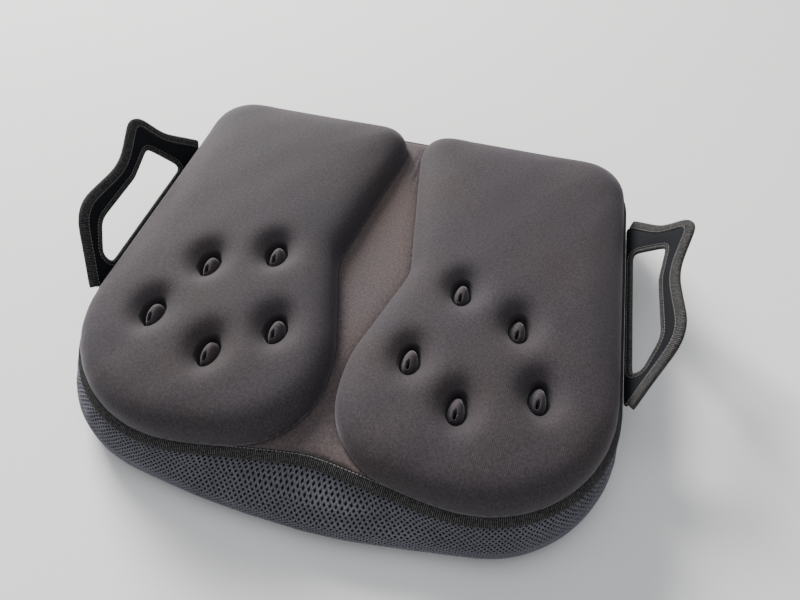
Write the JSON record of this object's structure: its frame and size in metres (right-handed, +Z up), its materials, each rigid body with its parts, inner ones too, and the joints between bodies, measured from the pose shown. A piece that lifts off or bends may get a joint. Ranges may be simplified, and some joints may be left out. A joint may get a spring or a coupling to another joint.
{
  "type": "seat cushion",
  "caption": "Ergonomic seat cushion with two raised thigh pads, a relief channel, vent dimples, a mesh side band and folding side handles.",
  "frame": {"origin": "under the middle of the cushion, on the surface it lies on", "axes": "+X across the seat through the two side handles, +Y to the rear edge, +Z up"},
  "size_m": [0.5202, 0.4207, 0.1076],
  "materials": {
    "pad_fabric": "smooth fine-knit stretch fabric, matt with a soft sheen",
    "channel_fabric": "the same knit, paler, on the flat base between the pads",
    "binding_tape": "ribbed polyester binding tape with a line of stitches",
    "spacer_mesh": "knitted three-dimensional spacer mesh with small holes in rows",
    "handle_fabric": "stiff laminated fabric, smooth and dark",
    "vent_nub": "moulded nub under the pad's knit, with a small slit",
    "foam": "slow-recovery polyurethane foam, cream",
    "grip_fabric": "non-slip fabric with small raised rubber dots",
    "zip_tape": "woven zip tape",
    "zip_teeth": "moulded nylon coil teeth",
    "zip_metal": "black enamelled die-cast metal"
  },
  "bodies": {
    "cushion": {"base_foam_core": "foam", "bottom_panel": "grip_fabric", "top_panel": "channel_fabric", "mesh_gusset": "spacer_mesh", "top_binding": "binding_tape", "left_pad_cover": "pad_fabric", "left_pad_foam": "foam", "left_vent_nub_1": "vent_nub", "left_vent_nub_2": "vent_nub", "left_vent_nub_3": "vent_nub", "left_vent_nub_4": "vent_nub", "left_vent_nub_5": "vent_nub", "right_pad_cover": "pad_fabric", "right_pad_foam": "foam", "right_vent_nub_1": "vent_nub", "right_vent_nub_2": "vent_nub", "right_vent_nub_3": "vent_nub", "right_vent_nub_4": "vent_nub", "right_vent_nub_5": "vent_nub", "zip_tape_upper": "zip_tape", "zip_tape_lower": "zip_tape", "zip_teeth_upper": "zip_teeth", "zip_teeth_lower": "zip_teeth", "zip_stop_left": "zip_metal", "zip_stop_right": "zip_metal"},
    "left_handle": {"left_handle_panel": "handle_fabric", "left_handle_binding": "binding_tape", "left_hand_hole_trim": "binding_tape"},
    "right_handle": {"right_handle_panel": "handle_fabric", "right_handle_binding": "binding_tape", "right_hand_hole_trim": "binding_tape"},
    "zip_slider": {"zip_slider": "zip_metal"},
    "zip_pull": {"zip_pull": "zip_metal"}
  },
  "joints": [
    {"name": "left_handle_fold", "type": "hinge", "parent": "cushion", "child": "left_handle", "pos_m": [-0.22119, 0, 0.04686], "axis": [0, 1, 0], "range_deg": [-96, 30]},
    {"name": "right_handle_fold", "type": "hinge", "parent": "cushion", "child": "right_handle", "pos_m": [0.22119, 0, 0.04686], "axis": [0, -1, 0], "range_deg": [-96, 30]},
    {"name": "zip_slide", "type": "slide", "parent": "cushion", "child": "zip_slider", "axis": [1, 0, 0], "range_m": [-0.2805, 0]},
    {"name": "zip_pull_swing", "type": "hinge", "parent": "zip_slider", "child": "zip_pull", "pos_m": [0.14025, 0.20855, 0.0245], "axis": [1, 0, 0], "range_deg": [0, 165]}
  ]
}
